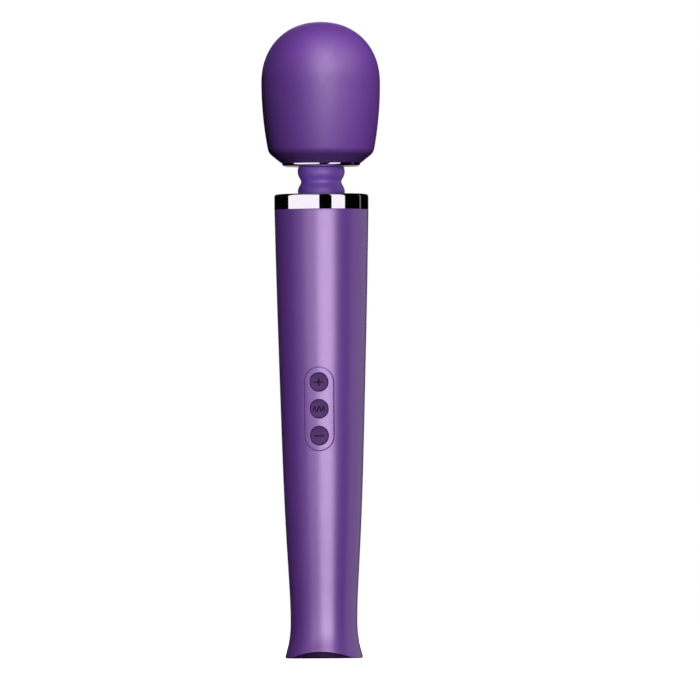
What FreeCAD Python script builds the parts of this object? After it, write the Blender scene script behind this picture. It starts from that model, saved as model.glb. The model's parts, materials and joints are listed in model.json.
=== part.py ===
import FreeCAD, Part

"""Cordless wand massager: a round, waisted handle with a flexible ribbed neck and a large silicone head.

Frame: millimetres, +Z up along the handle, the buttons on the -Y side, the origin in the middle of the
flat foot that the massager stands on. A motor in the handle turns a shaft in the head through a coil
spring, and a half-round weight on that shaft shakes the head.
"""

import math
import os
import re

import Sketcher

V = FreeCAD.Vector
doc = FreeCAD.newDocument("wand_massager")

# ------------------------------------------------------------------------------------------------
# Driving dimensions
# ------------------------------------------------------------------------------------------------

SIZES = {
    # handle: the side line's stations from the foot to the ring, as radius and height
    "foot_radius": 20.55, "foot_level": 1.0, "foot_rounding": 0.95,
    "flare_radius": 19.75, "flare_level": 4.2,
    "ankle_radius": 18.5, "ankle_level": 9.5,
    "waist_radius": 17.7, "waist_level": 22.0,
    "calf_radius": 18.45, "calf_level": 41.3,
    "grip_radius": 19.62, "grip_level": 62.0,
    "palm_radius": 22.55, "palm_level": 142.0,
    "thumb_radius": 23.9, "thumb_level": 190.0,
    "top_radius": 24.95, "top_level": 237.75,
    "wall": 2.4, "seam": 0.1,
    "arch_rise": 3.45, "arch_curve": 42.0, "cap_inset": 0.5, "cap_gap": 0.12, "cap_height": 9.0,
    # ring, deck and neck
    "ring_radius": 25.0, "ring_wall": 1.5, "ring_height": 8.2, "ring_lip": 1.2, "ring_mouth": 21.0,
    "ring_rounding": 1.4,
    "spigot_radius": 23.4, "spigot_wall": 1.2, "spigot_height": 4.0, "spigot_root": 4.0,
    "ledge_radius": 21.3, "ledge_level": 233.5, "ledge_height": 2.8,
    "anchor_radius": 22.0, "anchor_height": 3.0, "anchor_hole": 7.3,
    "deck_radius": 21.9, "deck_level": 241.4, "deck_top": 245.3, "deck_hole": 13.1, "deck_step": 20.8,
    "rib_radius": 12.4, "valley_radius": 10.7, "sleeve_bore": 9.7, "sleeve_foot": 12.9,
    "low_rib_level": 248.2, "valley_level": 252.45, "high_rib_level": 256.8, "sleeve_top": 260.4,
    "core_radius": 9.6, "core_bore": 7.4, "core_flange": 16.0, "core_collar": 14.0,
    "flange_thickness": 1.8,
    # head
    "collar_radius": 20.8, "collar_hole": 9.9, "collar_level": 260.5, "collar_thickness": 1.9,
    "collar_rounding": 0.45,
    "head_radius": 31.47, "head_equator": 304.75, "crown_height": 32.55, "crown_power": 2.15,
    "side_curve": 190.0, "corner_curve": 6.0, "corner_level": 270.0, "cone_angle": 51.0,
    "cover_thickness": 3.6, "cover_lip": 1.8, "cover_mouth": 14.5, "head_wall": 2.0, "skin_gap": 0.05,
    "split_level": 300.0, "plate_level": 264.35, "plate_thickness": 2.6,
    "post_circle": 17.2, "post_radius": 2.6,
    # head shaft, bearings and weight
    "shaft_radius": 3.0, "shaft_foot": 259.0, "shaft_length": 59.0,
    "bearing_radius": 9.5, "bearing_width": 6.0, "low_bearing": 267.0, "high_bearing": 308.0,
    "race_inner": 5.1, "race_outer": 7.4, "ball_radius": 1.75, "ball_circle": 6.25,
    "weight_radius": 14.2, "weight_level": 276.0, "weight_height": 25.0, "weight_hub": 6.5,
    # motor
    "motor_radius": 17.9, "motor_level": 164.0, "motor_length": 50.0, "can_wall": 1.2, "can_lid": 1.5,
    "motor_shaft_radius": 1.6, "motor_shaft_foot": 158.9, "motor_shaft_top": 229.0,
    "bush_radius": 3.0, "core_level": 179.0, "core_length": 24.0, "rotor_radius": 14.4,
    "winding_reach": 4.5, "commutator_radius": 4.5, "commutator_level": 168.0, "commutator_length": 5.0,
    # drive coupling
    "hub_radius": 5.0, "low_hub_level": 219.0, "hub_length": 11.9, "hub_spigot": 3.3, "spigot_length": 3.0,
    "spring_radius": 4.2, "spring_wire": 0.75, "spring_pitch": 1.9, "high_hub_level": 257.8,
    # buttons, panel and board
    "button_radius": 4.75, "button_hole": 5.0, "button_spacing": 14.2, "mode_level": 131.9,
    "button_flange": 5.8, "flange_front": 18.0, "flange_back": 17.2, "stem_radius": 1.8, "stem_back": 16.7,
    "face_inset": 0.3, "panel_width": 16.2, "panel_gap": 0.25, "panel_inset": 0.15, "panel_thickness": 1.15,
    "recess_depth": 1.4, "icon_depth": 0.35, "icon_stroke": 0.55, "icon_length": 4.6,
    "wave_radius": 0.62, "wave_stroke": 0.42,
    "board_front": 12.4, "board_thickness": 1.6, "board_width": 26.0, "board_foot": 93.0, "board_height": 59.0,
    "switch_side": 6.0, "switch_height": 3.5, "plunger_radius": 1.7, "plunger_length": 2.05,
    "plunger_bore": 1.76, "plunger_depth": 2.3,
    # battery and chassis
    "cell_radius": 9.2, "cell_length": 65.0, "cell_level": 20.5, "cell_gap": 1.0,
    "trough_bore": 9.45, "trough_radius": 11.3, "chassis_foot": 16.5, "chassis_top": 155.5,
    "wing_inside": 9.6, "wing_outside": 13.2,
    # charging socket and base screws
    "socket_radius": 4.2, "socket_bore": 2.85, "socket_depth": 10.0, "socket_level": 0.5,
    "socket_length": 12.8, "socket_pin": 1.05, "base_screw_offset": 10.5,
}

sheet = doc.addObject("Spreadsheet::Sheet", "dim")
for row, (alias, number) in enumerate(SIZES.items(), start=1):
    sheet.set(f"A{row}", alias.replace("_", " "))
    sheet.set(f"B{row}", str(number))
    sheet.setAlias(f"B{row}", alias)
doc.recompute()

BUTTONS = {"plus": 1, "mode": 0, "minus": -1}
HEADS_UP = FreeCAD.Rotation()
TOWARDS_BACK = FreeCAD.Rotation(V(0, 0, 1), V(0, 1, 0))
NODES = []

# ------------------------------------------------------------------------------------------------
# Helpers: each makes one object whose sizes are expressions on the sheet's cells
# ------------------------------------------------------------------------------------------------


def cells(text):
    """The text as an expression, with each cell's alias put in the sheet's name space."""
    return re.sub(r"[a-z_]+", lambda m: "dim." + m.group() if m.group() in SIZES else m.group(), str(text))


def value(text):
    """What an expression on the sheet's cells comes to now."""
    found = sheet.evalExpression(cells(text))
    return float(getattr(found, "Value", found))


def bind(item, **properties):
    """Binds an object's properties to expressions."""
    for name, text in properties.items():
        item.setExpression(name.replace("__", "."), cells(text))
    return item


def place(item, at, turn=HEADS_UP):
    """Puts an object at a place given as three expressions."""
    item.Placement = FreeCAD.Placement(V(0, 0, 0), turn)
    for axis, text in zip("xyz", at):
        item.setExpression(f"Placement.Base.{axis}", cells(text))
    return item


def cylinder(radius, height, at=(0, 0, 0), turn=HEADS_UP, label="rod"):
    return place(bind(doc.addObject("Part::Cylinder", label), Radius=radius, Height=height), at, turn)


def box(sides, corner, label="block"):
    item = doc.addObject("Part::Box", label)
    return place(bind(item, Length=sides[0], Width=sides[1], Height=sides[2]), corner)


def ball(radius, at):
    return place(bind(doc.addObject("Part::Sphere", "ball"), Radius=radius), at)


def cut(base, *tools, label="cut"):
    """The base with every tool taken away."""
    item = doc.addObject("Part::Cut", label)
    item.Base = base
    item.Tool = tools[0] if len(tools) == 1 else fuse(*tools)
    return item


def fuse(*items, label="fused"):
    item = doc.addObject("Part::MultiFuse", label)
    item.Shapes = list(items)
    return item


def common(first, second, label="shared"):
    item = doc.addObject("Part::MultiCommon", label)
    item.Shapes = [first, second]
    return item


def group(*items, label="group"):
    """Separate solids that share one node."""
    item = doc.addObject("Part::Compound", label)
    item.Links = list(items)
    return item


def spoke(sides, start, level, angle):
    """A block that points outwards at an angle, its inner end start from the axis."""
    turn = FreeCAD.Rotation(V(0, 0, 1), angle)
    corner = turn.multVec(V(start, -sides[1] / 2, 0))
    return place(box(sides, (0, 0, 0)), (corner.x, corner.y, level), turn)


def tube(outer, inner, height, at=(0, 0, 0), turn=HEADS_UP, label="tube"):
    return cut(cylinder(outer, height, at, turn), cylinder(inner, height, at, turn), label=label)


def sector(outer, inner, height, at, start, sweep, turn=HEADS_UP):
    """Part of a tube, from the angle start over sweep degrees."""
    spin = turn.multiply(FreeCAD.Rotation(V(0, 0, 1), start))
    rods = [cylinder(radius, height, at, spin) for radius in (outer, inner)]
    for rod in rods:
        rod.Angle = sweep
    return cut(*rods)


def turned(label, *corners):
    """A body turned about Z from a closed outline of straight runs, its corners as (radius, height)."""
    body = doc.addObject("PartDesign::Body", label)
    sketch = body.newObject("Sketcher::SketchObject", label + "_outline")
    plane = next(f for f in body.Origin.OriginFeatures if f.Role == "XZ_Plane")
    sketch.AttachmentSupport = [(plane, "")]
    sketch.MapMode = "FlatFace"
    points = [V(value(radius), value(height), 0) for radius, height in corners]
    count = len(points)
    for i in range(count):
        sketch.addGeometry(Part.LineSegment(points[i], points[(i + 1) % count]), False)
    for i in range(count):
        sketch.addConstraint(Sketcher.Constraint("Coincident", i, 2, (i + 1) % count, 1))
    for i, (radius, height) in enumerate(corners):
        if points[i].x == 0:
            sketch.addConstraint(Sketcher.Constraint("PointOnObject", i, 1, -2))
        else:
            found = sketch.addConstraint(Sketcher.Constraint("DistanceX", -1, 1, i, 1, points[i].x))
            sketch.setExpression(f"Constraints[{found}]", cells(radius))
        found = sketch.addConstraint(Sketcher.Constraint("DistanceY", -1, 1, i, 1, points[i].y))
        sketch.setExpression(f"Constraints[{found}]", cells(height))
    turn = body.newObject("PartDesign::Revolution", label + "_turn")
    turn.Profile = sketch
    turn.ReferenceAxis = (sketch, ["V_Axis"])
    turn.Angle = 360
    doc.recompute()
    return body


def rounded(body, radius, *circles):
    """Rounds a turned body's round edges, each named by its (radius, height)."""
    wanted = [(value(r), value(height)) for r, height in circles]
    sharp = body.Tip
    names = []
    for number, edge in enumerate(sharp.Shape.Edges, start=1):
        if not isinstance(edge.Curve, Part.Circle):
            continue
        found = (edge.Curve.Radius, edge.Curve.Center.z)
        if any(math.dist(found, w) < 0.01 for w in wanted):
            names.append(f"Edge{number}")
    fillet = body.newObject("PartDesign::Fillet", body.Name + "_rounding")
    fillet.Base = (sharp, names)
    bind(fillet, Radius=radius)
    doc.recompute()
    return body


def spun(label, edges):
    """A solid turned about Z from a closed outline with curves in it, drawn in the XZ plane."""
    outline = doc.addObject("Part::Feature", label + "_outline")
    outline.Shape = Part.Face(Part.Wire(edges))
    item = doc.addObject("Part::Revolution", label)
    item.Source = outline
    item.Axis = V(0, 0, 1)
    item.Angle = 360
    item.Solid = True
    return item


def line(*points):
    """Straight edges in the XZ plane through (radius, height) points."""
    places = [V(r, 0, height) for r, height in points]
    return [Part.LineSegment(a, b).toShape() for a, b in zip(places, places[1:])]


def curve(points, **tangents):
    """One smooth edge in the XZ plane through (radius, height) points."""
    spline = Part.BSplineCurve()
    spline.interpolate([V(r, 0, height) for r, height in points], **tangents)
    return spline.toShape()


def routed(points, radius):
    """A wire's tube along straight runs joined by tangent arcs, each as large as its runs allow."""
    places = [V(*p) for p in points]
    edges = []
    start = places[0]
    for before, corner, after in zip(places, places[1:], places[2:]):
        back = (before - corner).normalize()
        ahead = (after - corner).normalize()
        half = (math.pi - back.getAngle(ahead)) / 2
        reach = 0.45 * min((before - corner).Length, (after - corner).Length)
        bend = reach / math.tan(half)
        middle = (back + ahead).normalize()
        centre = corner + middle * math.hypot(reach, bend)
        first = corner + back * reach
        last = corner + ahead * reach
        edges.append(Part.LineSegment(start, first).toShape())
        edges.append(Part.Arc(first, centre - middle * bend, last).toShape())
        start = last
    edges.append(Part.LineSegment(start, places[-1]).toShape())
    path = Part.Wire(edges)
    section = Part.Wire(Part.Circle(places[0], places[1] - places[0], radius).toShape())
    item = doc.addObject("Part::Feature", "wire")
    item.Shape = path.makePipeShell([section], True, True)
    return item


def node(label, item):
    """Names a finished sub-part, which is written to its own file."""
    item.Label = label
    NODES.append(item)
    return item


# ------------------------------------------------------------------------------------------------
# Handle: two half shells on one side line, the ring, the deck and the neck's anchor
# ------------------------------------------------------------------------------------------------

STATIONS = ("foot", "flare", "ankle", "waist", "calf", "grip", "palm", "thumb", "top")
REACH = 60  # larger than any radius, for blocks that cut a part in two


def handle_body(inset, label):
    """The handle as one solid, its side line moved inwards by inset."""
    inset = value(inset)
    side = [(value(f"{s}_radius") - inset, value(f"{s}_level")) for s in STATIONS]
    foot, rounding, height = side[0][0], value("foot_rounding"), side[0][1]
    under = (foot - rounding, 0)
    corner = Part.Arc(V(*under[:1], 0, 0), V(foot - 0.27 * rounding, 0, 0.25 * height), V(foot, 0, height))
    edges = line((0, 0), under) + [corner.toShape(), curve(side)]
    return spun(label, edges + line(side[-1], (0, side[-1][1]), (0, 0)))


def half_space(side, gap="seam / 2"):
    """A block holding everything on one side of the handle's seam: side is -1 in front and 1 behind."""
    y = gap if side > 0 else f"-{REACH} - ({gap})"
    return box((2 * REACH, REACH, 400), (-REACH, y, -20))


def across(radius, height, at):
    """A rod along Y, from the front plane to the depth given by height."""
    return cylinder(radius, height, at, TOWARDS_BACK)


def arch(gap):
    """The shallow arch through the foot, front to back."""
    place_z = "arch_rise - arch_curve"
    return across(f"arch_curve - {gap}", 2 * REACH, (0, -REACH, place_z))


def pill(half_width, depth):
    """A round-ended slot that holds the three buttons, from in front of the handle to y = -depth."""
    ends = [
        across(half_width, f"{REACH} - {depth}", (0, -REACH, f"mode_level + {step} * button_spacing"))
        for step in (1, -1)
    ]
    sides = (f"2 * ({half_width})", f"{REACH} - {depth}", "2 * button_spacing")
    return fuse(box(sides, (f"-({half_width})", -REACH, "mode_level - button_spacing")), *ends)


def button_level(step):
    return f"mode_level + {step} * button_spacing"


OUTER = handle_body(0, "handle_outside")
CAVITY = handle_body("wall", "handle_cavity")
PILL_DEPTH = 12  # the slot's tools stop between the shell's front wall and the handle's axis
MOUNT_RIBS = {168.6: 22.0, 176.2: 22.0, 200.6: 22.8, 208.2: 22.8}
MOUNT_RINGS = {170.0: 20.8, 202.0: 21.6}
MOUNT_RIB_BORE = 19.4


def shells():
    wall = cut(OUTER, CAVITY)
    spigot = tube("spigot_radius", "spigot_radius - spigot_wall", "spigot_height + spigot_root",
                  (0, 0, "top_level - spigot_root"))
    ledge = tube("ledge_radius + 1.6", "ledge_radius", "ledge_height", (0, 0, "ledge_level"))
    ribs = [tube(radius, MOUNT_RIB_BORE, 1.2, (0, 0, level)) for level, radius in MOUNT_RIBS.items()]
    whole = cut(fuse(wall, spigot, ledge, *ribs), arch(0))
    floor = handle_body("recess_depth", "recess_floor")
    recess = cut(pill("panel_width / 2 + panel_gap", PILL_DEPTH), floor)
    holes = [across("button_hole", REACH - PILL_DEPTH, (0, -REACH, button_level(s))) for s in BUTTONS.values()]
    node("front_shell", common(cut(whole, recess, *holes), half_space(-1)))
    node("rear_shell", common(whole, half_space(1)))
    floor_for_panel = handle_body("panel_inset + panel_thickness", "panel_back")
    plate = cut(handle_body("panel_inset", "panel_face"), floor_for_panel)
    blank = common(plate, pill("panel_width / 2", PILL_DEPTH))
    node("button_panel", cut(blank, *holes))


def ring_and_deck():
    ring_top = "top_level + ring_height"
    inside = "ring_radius - ring_wall"
    ring = turned("top_ring", (inside, "top_level + 0.02"), ("ring_radius", "top_level + 0.02"),
                  ("ring_radius", ring_top), ("ring_mouth", ring_top),
                  ("ring_mouth", f"{ring_top} - ring_lip"), (inside, f"{ring_top} - ring_lip"))
    node("top_ring", rounded(ring, "ring_rounding", ("ring_radius", ring_top)))
    lip = f"{ring_top} - ring_lip - 0.1"
    deck = turned("deck_blank", ("deck_hole", "deck_level"), ("deck_radius", "deck_level"),
                  ("deck_radius", lip), ("deck_step", lip), ("deck_step", "deck_top - 0.3"),
                  ("deck_hole", "deck_top"))
    threads = [cylinder(1.3, 2.4, at) for at in on_circle(18.8, 4, "deck_level - 0.5", 45)]
    node("deck_plate", cut(deck, *threads))
    foot = "ledge_level + ledge_height + 0.1"
    plate = tube("anchor_radius", "anchor_hole", "anchor_height", (0, 0, foot))
    holes = [cylinder(1.3, 2 * value("anchor_height"), at) for at in on_circle(18.8, 4, "ledge_level", 45)]
    node("neck_anchor", cut(plate, *holes))
    node("neck_screws", group(*[screw(1.2, 2.2, 1.7, 6.3, at) for at in on_circle(18.8, 4, foot, 45)]))


def on_circle(radius, count, height, start=0):
    """Places spread evenly on a circle about Z, as (x, y, height)."""
    turns = [math.radians(start + 360 * i / count) for i in range(count)]
    return [(radius * math.cos(a), radius * math.sin(a), height) for a in turns]


def screw(shank, head, head_height, length, at, turn=HEADS_UP):
    """A cross-head screw that points along its own axis, with the underside of its head at the place."""
    body = cylinder(shank, length, (0, 0, 0))
    cap = cylinder(head, head_height, (0, 0, -head_height))
    slots = [box(s, (-s[0] / 2, -s[1] / 2, -head_height)) for s in ((2.2, 0.5, 0.8), (0.5, 2.2, 0.8))]
    return place(cut(fuse(body, cap), *slots), at, turn)


# ------------------------------------------------------------------------------------------------
# Base: the dark cap in the foot's arch, the charging socket and its board
# ------------------------------------------------------------------------------------------------


def base():
    plug = common(handle_body("wall + cap_gap", "cap_plug"),
                  cylinder(REACH, "cap_height", (0, 0, 0)))
    lens = common(handle_body("cap_inset", "cap_face"), arch("cap_gap"))
    holes = [cylinder("socket_radius + 0.1", 12, (0, 0, -1))]
    for side in (-1, 1):
        x = f"{side} * base_screw_offset"
        holes += [cylinder(1.4, 12, (x, 0, -1)), cylinder(2.6, 3.4, (x, 0, -1))]
    node("base_cap", cut(fuse(plug, lens), *holes))
    node("base_screws", group(*[screw(1.3, 2.4, 1.8, 11.5, (f"{side} * base_screw_offset", 0, 2.38))
                                for side in (-1, 1)]))
    barrel = cut(cylinder("socket_radius", "socket_length", (0, 0, "socket_level")),
                 cylinder("socket_bore", "socket_depth", (0, 0, "socket_level")))
    mouth = bind(doc.addObject("Part::Cone", "mouth"), Radius1="socket_bore + 0.5", Radius2="socket_bore",
                 Height=0.5)
    node("charge_socket", cut(barrel, place(mouth, (0, 0, "socket_level"))))
    pin = cylinder("socket_pin", "socket_depth - 1.5", (0, 0, "socket_level + 1.5"))
    node("charge_pin", pin)
    board = box((14.8, 22, 1.6), (-7.4, -11, "socket_level + socket_length + 0.05"))
    node("charge_board", board)


# ------------------------------------------------------------------------------------------------
# Buttons, their switches and the control board
# ------------------------------------------------------------------------------------------------


def wave_icon(front, level):
    """Three humps and two dips of a wave, as half rings that take turns above and below the middle."""
    step = 2 * value("wave_radius")
    half = value("wave_stroke") / 2
    rings = []
    for i in range(5):
        x = (i - 2) * step
        start = 180 if i % 2 == 0 else 0
        rings.append(sector(f"wave_radius + {half}", f"wave_radius - {half}", REACH, (x, front, level),
                            start, 180, TOWARDS_BACK))
    return fuse(*rings)


def bar_icon(front, level, upright):
    """A plus or a minus, as one or two bars."""
    long, short = "icon_length", "icon_stroke"
    bars = [box((long, REACH, short), (f"-{long} / 2", front, f"{level} - {short} / 2"))]
    if upright:
        bars.append(box((short, REACH, long), (f"-{short} / 2", front, f"{level} - {long} / 2")))
    return fuse(*bars) if upright else bars[0]


def buttons():
    face = handle_body("face_inset", "button_face")
    icon_floor = handle_body("face_inset + icon_depth", "icon_floor")
    bodies = []
    for name, step in BUTTONS.items():
        level = button_level(step)
        key = common(across("button_radius", f"{REACH} - flange_front", (0, -REACH, level)), face)
        flange = across("button_flange", "flange_front - flange_back", (0, "-flange_front", level))
        stem = across("stem_radius", "flange_back - stem_back + 0.2", (0, "-flange_back - 0.2", level))
        icon = wave_icon(-REACH, level) if name == "mode" else bar_icon(-REACH, level, name == "plus")
        engraving = cut(common(icon, half_space(-1, 5)), icon_floor)
        node(f"{name}_button", cut(fuse(key, flange, stem), engraving))
        plunger = across("plunger_radius", "plunger_length", (0, "-stem_back + 0.05", level))
        node(f"{name}_plunger", plunger)
        front = "-board_front - switch_height"
        case = box(("switch_side", "switch_height - 0.02", "switch_side"),
                   ("-switch_side / 2", front, f"{level} - switch_side / 2"))
        bodies.append(cut(case, across("plunger_bore", "plunger_depth", (0, front, level))))
    node("switch_housings", group(*bodies))


BOARD_SCREWS = [(x, z) for x in (-10.9, 10.9) for z in (97, 148)]


def control_board():
    board = box(("board_width", "board_thickness", "board_height"),
                ("-board_width / 2", "-board_front", "board_foot"))
    holes = [across(1.1, 6, (x, "-board_front - 2", z)) for x, z in BOARD_SCREWS]
    node("control_board", cut(board, *holes))
    face = "-board_front - 0.02"
    chips = [((7, 1.2, 7), (-3.5, 103)), ((4, 1.4, 5), (-9.5, 112)), ((4, 1.4, 5), (5.5, 112)),
             ((2.4, 0.8, 1.4), (-8, 142)), ((2.4, 0.8, 1.4), (5.6, 142)), ((5, 2.6, 5), (5, 124)),
             ((5, 3.0, 4), (-9, 127)), ((1.6, 0.8, 3), (-6, 120)), ((1.6, 0.8, 3), (5.6, 119))]
    parts = [box(sides, (x, f"{face} - {sides[1]}", z)) for sides, (x, z) in chips]
    cans = [across(2.1, 3.2, (x, f"{face} - 3.2", 105)) for x in (-7.5, 7.5)]
    node("board_components", group(*parts, *cans))
    screws = [screw(1.0, 1.7, 1.2, 5.6, (x, face, z), TOWARDS_BACK) for x, z in BOARD_SCREWS]
    node("board_screws", group(*screws))


# ------------------------------------------------------------------------------------------------
# Battery, chassis and wires
# ------------------------------------------------------------------------------------------------


def cell(label, foot):
    """A round lithium cell with its crimp groove and its raised end."""
    top = f"{foot} + cell_length"
    return turned(label, (0, foot), ("cell_radius", foot), ("cell_radius", f"{top} - 4.4"),
                  ("cell_radius - 0.5", f"{top} - 4"), ("cell_radius - 0.5", f"{top} - 3.6"),
                  ("cell_radius", f"{top} - 3.2"), ("cell_radius", f"{top} - 0.7"), (3.2, f"{top} - 0.7"),
                  (3.2, top), (0, top))


def battery():
    second = "cell_level + cell_length + cell_gap"
    node("battery_cells", group(cell("low_cell", "cell_level"), cell("high_cell", second)))
    levels = ("cell_level - 0.35", "cell_level + cell_length + 0.35", f"{second} + cell_length + 0.05")
    node("cell_tabs", group(*[box((7, 7, 0.3), (-3.5, -3.5, level)) for level in levels]))
    node("cell_pad", tube(8.5, 5.4, 0.9, (0, 0, "cell_level - 0.95")))


def chassis():
    foot = cylinder(14.6, 3, (0, 0, "chassis_foot"))
    length = "chassis_top - chassis_foot"
    trough = tube("trough_radius", "trough_bore", length, (0, 0, "chassis_foot"))
    half_trough = common(trough, half_space(1, 0))
    wings = [box(("wing_outside - wing_inside", "board_front - board_thickness + 0.45", 59),
                 (x, "-(board_front - board_thickness) + 0.05", "board_foot"))
             for x in ("wing_inside", "-wing_outside")]
    slabs = fuse(*[cylinder(REACH, 2, (0, 0, level)) for level in (40, 75, 110, 145)])
    body = handle_body("wall + 0.3", "chassis_reach")
    ribs = cut(common(common(body, slabs), half_space(1, 0)), cylinder("trough_bore", 200, (0, 0, 0)))
    ears = [box((2, 3.4, 59), (x, -0.2, "board_foot")) for x in ("trough_radius - 0.6", "-trough_radius - 1.4")]
    bosses = [cylinder(2.8, "chassis_foot - cap_height + 0.4",
                       (f"{s} * base_screw_offset", 0, "cap_height + 0.1")) for s in (-1, 1)]
    pilots = [cylinder(1.35, 6, (f"{s} * base_screw_offset", 0, "cap_height")) for s in (-1, 1)]
    pilots += [across(1.05, 8, (x, "-board_front", z)) for x, z in BOARD_SCREWS]
    notch = box((16, 10, 5), (-8, -18, "chassis_foot - 1"))
    solid = fuse(foot, half_trough, *wings, ribs, *ears, *bosses)
    node("chassis", cut(solid, *pilots, notch))


LEAD_RADIUS = 0.6
LEAD_FRONT = -13.35  # the leads' solder ends run down the control board's front face


def leads():
    motor = [routed([(x * 7, -11.6, 152.7), (x * 7, -11.6, 158), (x * 9.1, -2.0, 158)], LEAD_RADIUS)
             for x in (-1, 1)]
    node("motor_leads", group(*motor))
    plus = [(3.0, 0, 152.5), (4.6, -9.6, 153.2), (4.6, -11.6, 153.2), (4.6, LEAD_FRONT, 152.5),
            (4.6, LEAD_FRONT, 145.5)]
    minus = [(-6.5, -9.2, 20.2), (-6.5, -9.2, 85), (-6.5, LEAD_FRONT, 90), (-6.5, LEAD_FRONT, 96)]
    node("battery_leads", group(routed(plus, LEAD_RADIUS), routed(minus, LEAD_RADIUS)))
    charge = [routed([(x, -10.3, 15.1), (x, -10.3, 85), (x, LEAD_FRONT, 90), (x, LEAD_FRONT, 96)], LEAD_RADIUS)
              for x in (-3.5, 3.5)]
    node("charge_leads", group(*charge))


# ------------------------------------------------------------------------------------------------
# Motor and drive coupling
# ------------------------------------------------------------------------------------------------

POLES = 5


def motor_case():
    top = "motor_level + motor_length"
    inside = "motor_radius - can_wall"
    can = turned("motor_can", (inside, "motor_level"), ("motor_radius", "motor_level"), ("motor_radius", top),
                 (5.5, top), (5.5, f"{top} + 3"), ("bush_radius", f"{top} + 3"),
                 ("bush_radius", f"{top} - can_lid"), (inside, f"{top} - can_lid"))
    node("motor_can", rounded(can, 1.0, ("motor_radius", top)))
    foot = "motor_level - 2.5"
    bell = turned("bell_blank", ("bush_radius", "motor_level - 5.2"), (6, "motor_level - 5.2"), (6, foot),
                  ("motor_radius", foot), ("motor_radius", "motor_level - 0.05"),
                  (f"{inside} - 0.1", "motor_level - 0.05"), (f"{inside} - 0.1", "motor_level + 2.5"),
                  ("bush_radius", "motor_level + 2.5"))
    slots = [box((1.0, 4.0, 10), (x, -2.0, "motor_level - 5")) for x in (8.6, -9.6)]
    node("motor_end_bell", cut(bell, *slots))
    bush = ("bush_radius - 0.01", "motor_shaft_radius + 0.02", 4)
    node("motor_bushes", group(tube(*bush, (0, 0, "motor_level - 4.9")), tube(*bush, (0, 0, f"{top} - 1.2"))))
    magnet = ("motor_radius - can_wall - 0.02", "rotor_radius + 0.5", 28, (0, 0, "core_level - 2"))
    node("motor_magnets", group(*[sector(*magnet, start, 140) for start in (20, 200)]))
    level = "commutator_level + 0.5"
    brushes = [box((4.0, 3.0, 4.0), (x, -1.5, level)) for x in ("commutator_radius + 0.05",
                                                               "-commutator_radius - 4.05")]
    node("motor_brushes", group(*brushes))
    blades = [box((0.8, 3.8, 16.4), (x, -1.9, "motor_level - 7.6")) for x in (8.7, -9.5)]
    node("brush_terminals", group(*blades))
    rings = [tube(outer, "motor_radius + 0.05", 6, (0, 0, level)) for level, outer in MOUNT_RINGS.items()]
    node("motor_mounts", group(*rings))


def rotor():
    node("motor_shaft", cylinder("motor_shaft_radius", "motor_shaft_top - motor_shaft_foot",
                                 (0, 0, "motor_shaft_foot")))
    bore = "motor_shaft_radius + 0.01"
    core = tube("rotor_radius", bore, "core_length", (0, 0, "core_level"))
    circle = value("rotor_radius") * 0.64
    slots = [cylinder(3.1, 40, at) for at in on_circle(circle, POLES, "core_level - 5")]
    slots += [spoke((8, 1.6, 40), circle, "core_level - 5", 360 * i / POLES) for i in range(POLES)]
    node("rotor_core", cut(core, *slots))
    coils = [cylinder(3.0, "core_length + 1", at) for at in on_circle(circle, POLES, "core_level - 0.5")]
    ends = [tube(12.6, 4.8, "winding_reach - 0.1", (0, 0, level))
            for level in ("core_level - winding_reach", "core_level + core_length + 0.1")]
    node("rotor_windings", fuse(*coils, *ends))
    segments = tube("commutator_radius", bore, "commutator_length", (0, 0, "commutator_level"))
    gaps = [spoke((3, 0.3, 8), 3.6, "commutator_level - 1", 36 + 360 * i / POLES) for i in range(POLES)]
    node("commutator", cut(segments, *gaps))


def coupling():
    bore = "motor_shaft_radius + 0.01"
    top = "low_hub_level + hub_length"
    node("lower_coupling", turned(
        "lower_coupling", (bore, "low_hub_level"), ("hub_radius", "low_hub_level"), ("hub_radius", top),
        ("hub_spigot", top), ("hub_spigot", f"{top} + spigot_length"), (0, f"{top} + spigot_length"),
        (0, "motor_shaft_top + 0.05"), (bore, "motor_shaft_top + 0.05")))
    bore = "shaft_radius + 0.01"
    foot = "high_hub_level"
    node("upper_coupling", turned(
        "upper_coupling", (0, f"{foot} - spigot_length"), ("hub_spigot", f"{foot} - spigot_length"),
        ("hub_spigot", foot), ("hub_radius", foot), ("hub_radius", f"{foot} + 8"), (bore, f"{foot} + 8"),
        (bore, "shaft_foot - 0.05"), (0, "shaft_foot - 0.05")))
    low = value(top) + value("spring_wire") + 0.05
    high = value(foot) - value("spring_wire") - 0.05
    spring = doc.addObject("Part::Feature", "drive_spring")
    helix = Part.makeHelix(value("spring_pitch"), high - low, value("spring_radius"))
    start = V(value("spring_radius"), 0, 0)
    section = Part.Wire(Part.Circle(start, V(0, 1, 0), value("spring_wire")).toShape())
    spring.Shape = Part.Wire(helix.Edges).makePipeShell([section], True, True)
    spring.Placement = FreeCAD.Placement(V(0, 0, low), HEADS_UP)
    node("drive_spring", spring)


# ------------------------------------------------------------------------------------------------
# Neck: the ribbed silicone sleeve and the rubber core that carries the head
# ------------------------------------------------------------------------------------------------


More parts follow.
